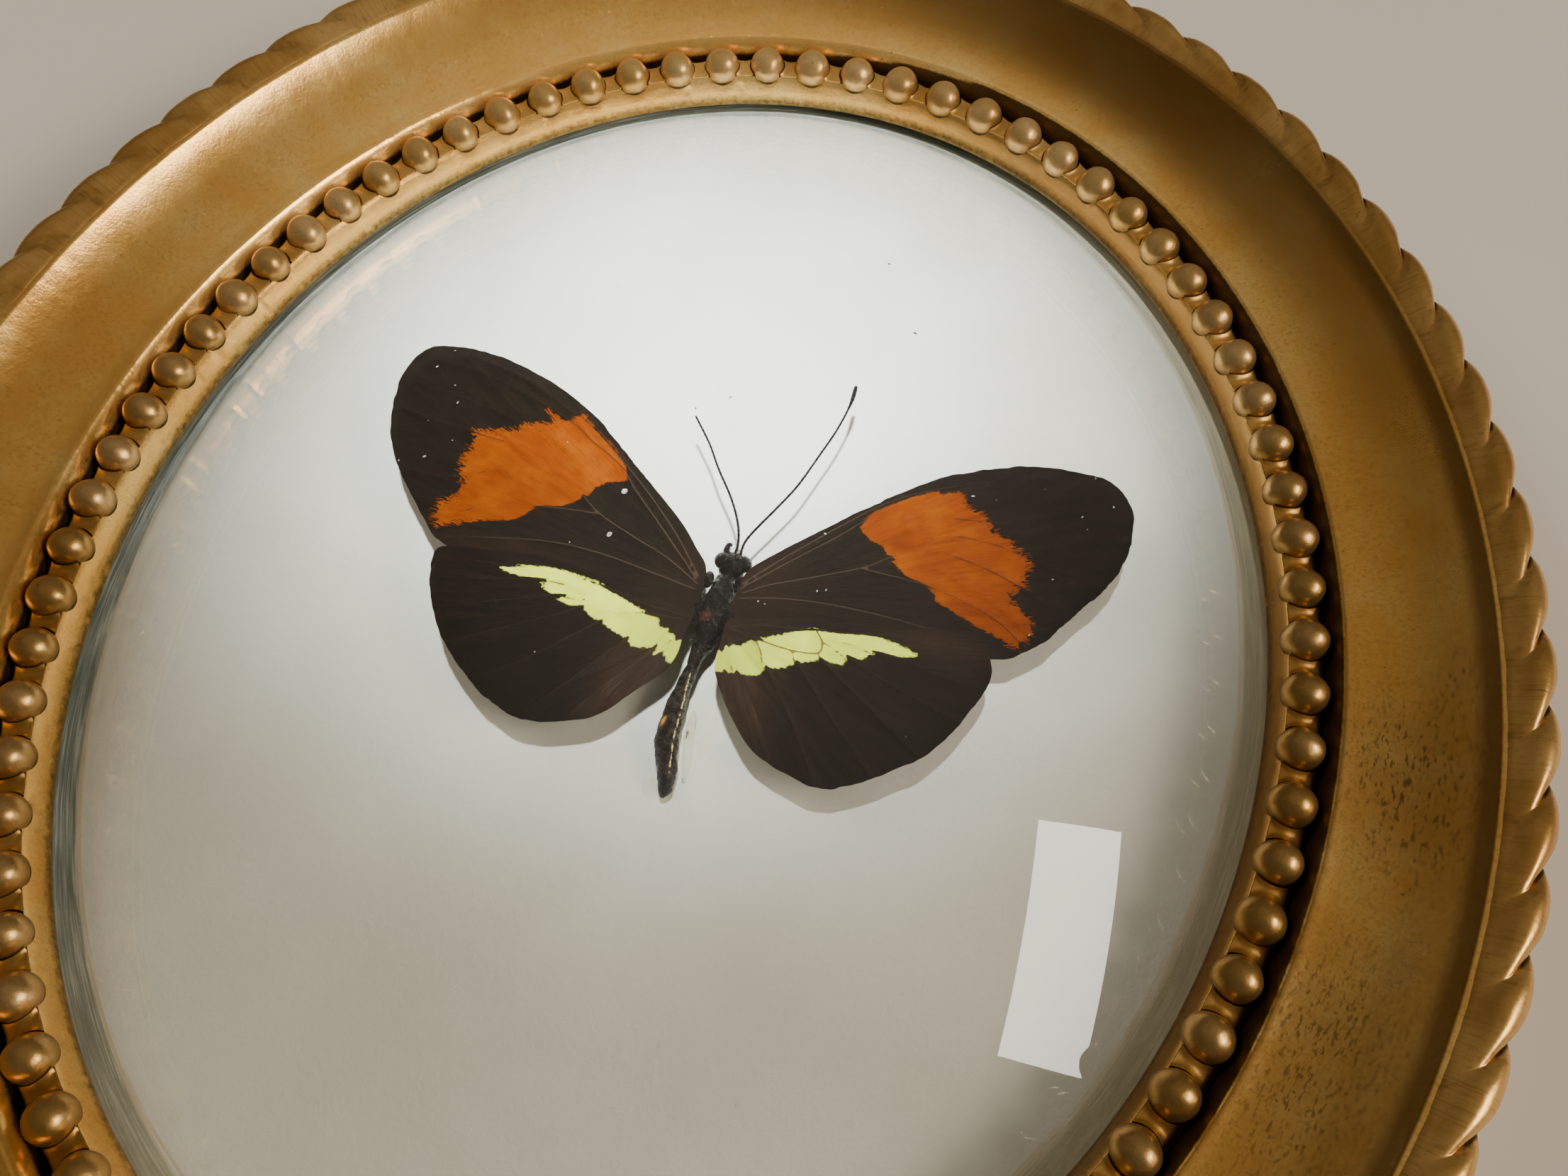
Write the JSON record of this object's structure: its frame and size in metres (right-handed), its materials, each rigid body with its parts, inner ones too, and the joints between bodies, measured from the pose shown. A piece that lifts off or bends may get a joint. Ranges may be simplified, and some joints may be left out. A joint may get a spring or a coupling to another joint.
{
  "type": "mounted butterfly under convex oval glass",
  "caption": "Dried black butterfly with orange and pale yellow bands on white paper, under convex oval glass in a gilt oval frame with a bead row and rope edge.",
  "frame": {"origin": "centre of the oval on the frame's back plane", "axes": "+X across the oval, +Y along its longer axis towards the butterfly's head, +Z from the back up through the glass"},
  "size_m": [0.134, 0.1546, 0.0213],
  "materials": {
    "antique_gilt": "antique bronze-gold gilding on a carved or cast composition moulding, satin, dark in the recesses, worn and speckled",
    "clear_glass": "polished clear glass",
    "white_paper": "matt textured drawing paper with faint grey stains",
    "brown_board": "matt grey-brown board",
    "dull_steel": "dull bare steel",
    "brassed_steel": "thin brass plating, satin",
    "insect_body": "black chitin, partly hairy and partly glossy, with a dull gold line along the abdomen",
    "wing_scales": "velvety brown-black scales with an orange forewing band and a pale yellow-green hindwing bar",
    "dried_glue": "clear dried glue, yellowish and glossy"
  },
  "bodies": {
    "root": {"frame": "antique_gilt", "glass_dome": "clear_glass", "mat": "white_paper", "backing_board": "brown_board", "retaining_point_1": "dull_steel", "retaining_point_2": "dull_steel", "retaining_point_3": "dull_steel", "retaining_point_4": "dull_steel", "retaining_point_5": "dull_steel", "retaining_point_6": "dull_steel", "sawtooth_hanger": "brassed_steel", "butterfly_body": "insect_body", "forewing_left": "wing_scales", "forewing_right": "wing_scales", "hindwing_left": "wing_scales", "hindwing_right": "wing_scales", "glue_dab": "dried_glue"}
  },
  "joints": []
}
